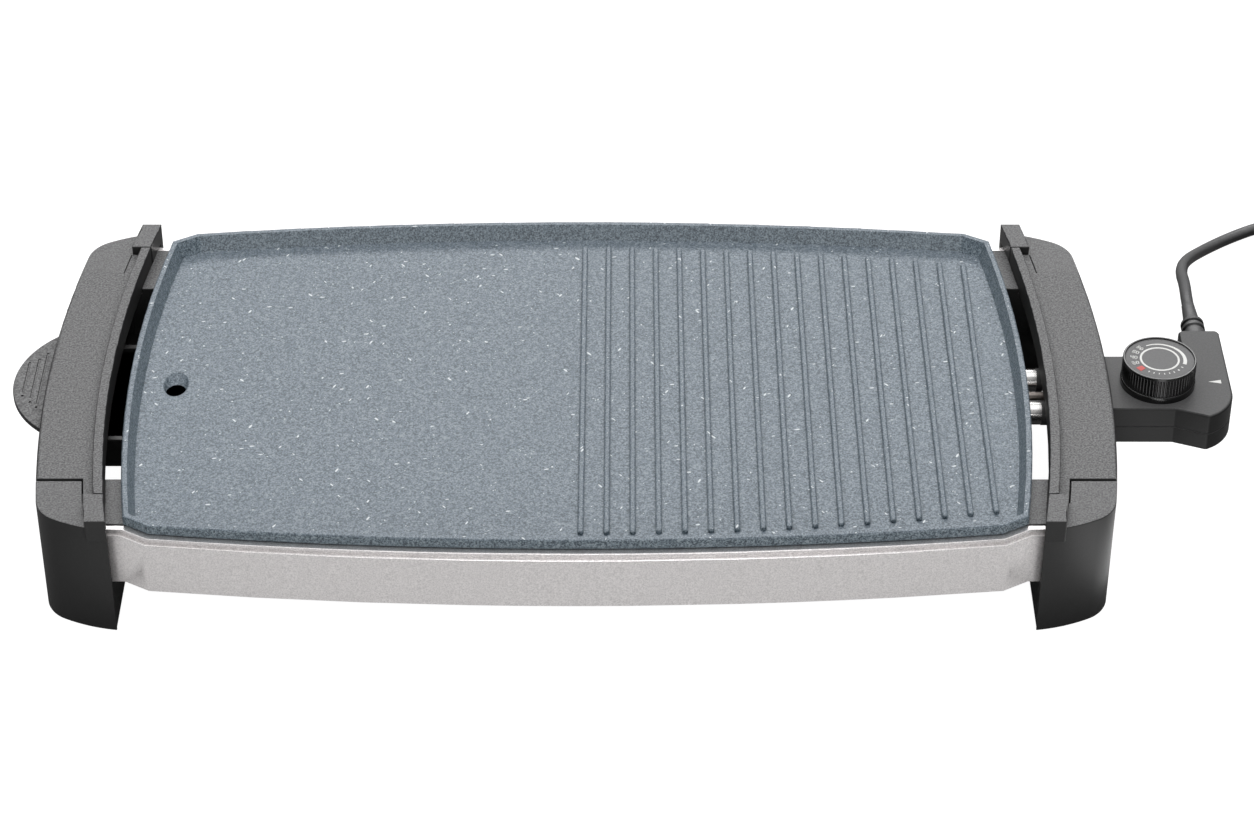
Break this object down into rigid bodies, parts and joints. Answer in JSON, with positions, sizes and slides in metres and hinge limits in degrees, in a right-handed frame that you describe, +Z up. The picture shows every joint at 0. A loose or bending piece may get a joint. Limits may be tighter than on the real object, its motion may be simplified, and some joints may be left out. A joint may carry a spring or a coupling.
{
  "type": "electric griddle",
  "caption": "Electric griddle with a bowed half-flat, half-ribbed plate, end handles on legs, slide-out drip tray, and plug-in thermostat control with dial and cord.",
  "frame": {"origin": "on the floor under the middle of the griddle's box, without its cord", "axes": "+X to the control, +Y to the rear, +Z up"},
  "size_m": [0.9003, 0.4879, 0.0785],
  "materials": {
    "stone_coating": "grey-blue speckled stone-look non-stick coating on cast aluminium",
    "sheath_steel": "heating element sheath steel",
    "bright_steel": "bright plated steel",
    "screw_steel": "zinc plated screws",
    "ceramic": "dark fired ceramic insulator",
    "rail_silver": "warm silver metallic paint with a fine grain",
    "handle_grey": "finely textured grey heat-resistant plastic",
    "leg_black": "satin near-black plastic",
    "tray_black": "smooth black tray plastic",
    "foot_rubber": "matte black rubber",
    "control_black": "satin black housing plastic",
    "gloss_black": "glossy black plastic",
    "dial_grey": "grey printed dial face",
    "contact_brass": "plated brass contacts",
    "lead_insulation": "insulated inner leads",
    "cord_black": "soft black cord jacket",
    "tie_grey": "woven hook-and-loop cord tie"
  },
  "bodies": {
    "base": {"griddle_plate": "stone_coating", "heating_element": "sheath_steel", "cold_end_sleeves": "bright_steel", "terminal_pins": "bright_steel", "element_clamps": "bright_steel", "element_clamp_screws": "screw_steel", "plate_screws": "screw_steel", "cover_screws": "screw_steel", "crossbar_screws": "screw_steel", "runner_screws": "screw_steel", "terminal_insulators": "ceramic", "front_rail": "rail_silver", "rear_rail": "rail_silver", "left_handle_cover": "handle_grey", "right_handle_cover": "handle_grey", "front_left_leg": "leg_black", "rear_left_leg": "leg_black", "front_right_leg": "leg_black", "rear_right_leg": "leg_black", "left_crossbar": "leg_black", "right_crossbar": "leg_black", "tray_runners": "tray_black", "rubber_feet": "foot_rubber"},
    "tray": {"drip_tray": "tray_black", "tray_pull": "handle_grey", "pull_rivets": "screw_steel"},
    "control": {"control_upper_housing": "control_black", "control_lower_housing": "control_black", "housing_screws": "screw_steel", "contact_sleeves": "bright_steel", "probe_tube": "sheath_steel", "sensing_rod": "sheath_steel", "probe_bracket": "bright_steel", "thermostat_base": "ceramic", "thermostat_screws": "screw_steel", "fixed_blade": "contact_brass", "moving_blade": "contact_brass", "blade_spacer": "ceramic", "contact_points": "contact_brass", "dial_collar": "gloss_black", "inner_leads": "lead_insulation", "cord_clamp": "control_black", "cord_clamp_screws": "screw_steel", "strain_relief": "cord_black", "power_cord": "cord_black", "cord_coil": "cord_black", "coil_tie": "tie_grey", "plug_body": "cord_black", "plug_pins": "contact_brass"},
    "dial": {"dial_knob": "gloss_black", "dial_disc": "dial_grey", "dial_spindle": "bright_steel", "spindle_clip": "bright_steel"}
  },
  "joints": [
    {"name": "tray_slide", "type": "slide", "parent": "base", "child": "tray", "axis": [-1, 0, 0], "range_m": [0, 0.12]},
    {"name": "control_slide", "type": "slide", "parent": "base", "child": "control", "axis": [1, 0, 0], "range_m": [0, 0.125]},
    {"name": "dial_turn", "type": "hinge", "parent": "control", "child": "dial", "pos_m": [0.29495, 0, 0.072], "axis": [0, 0, 1], "range_deg": [-218, 18]}
  ]
}
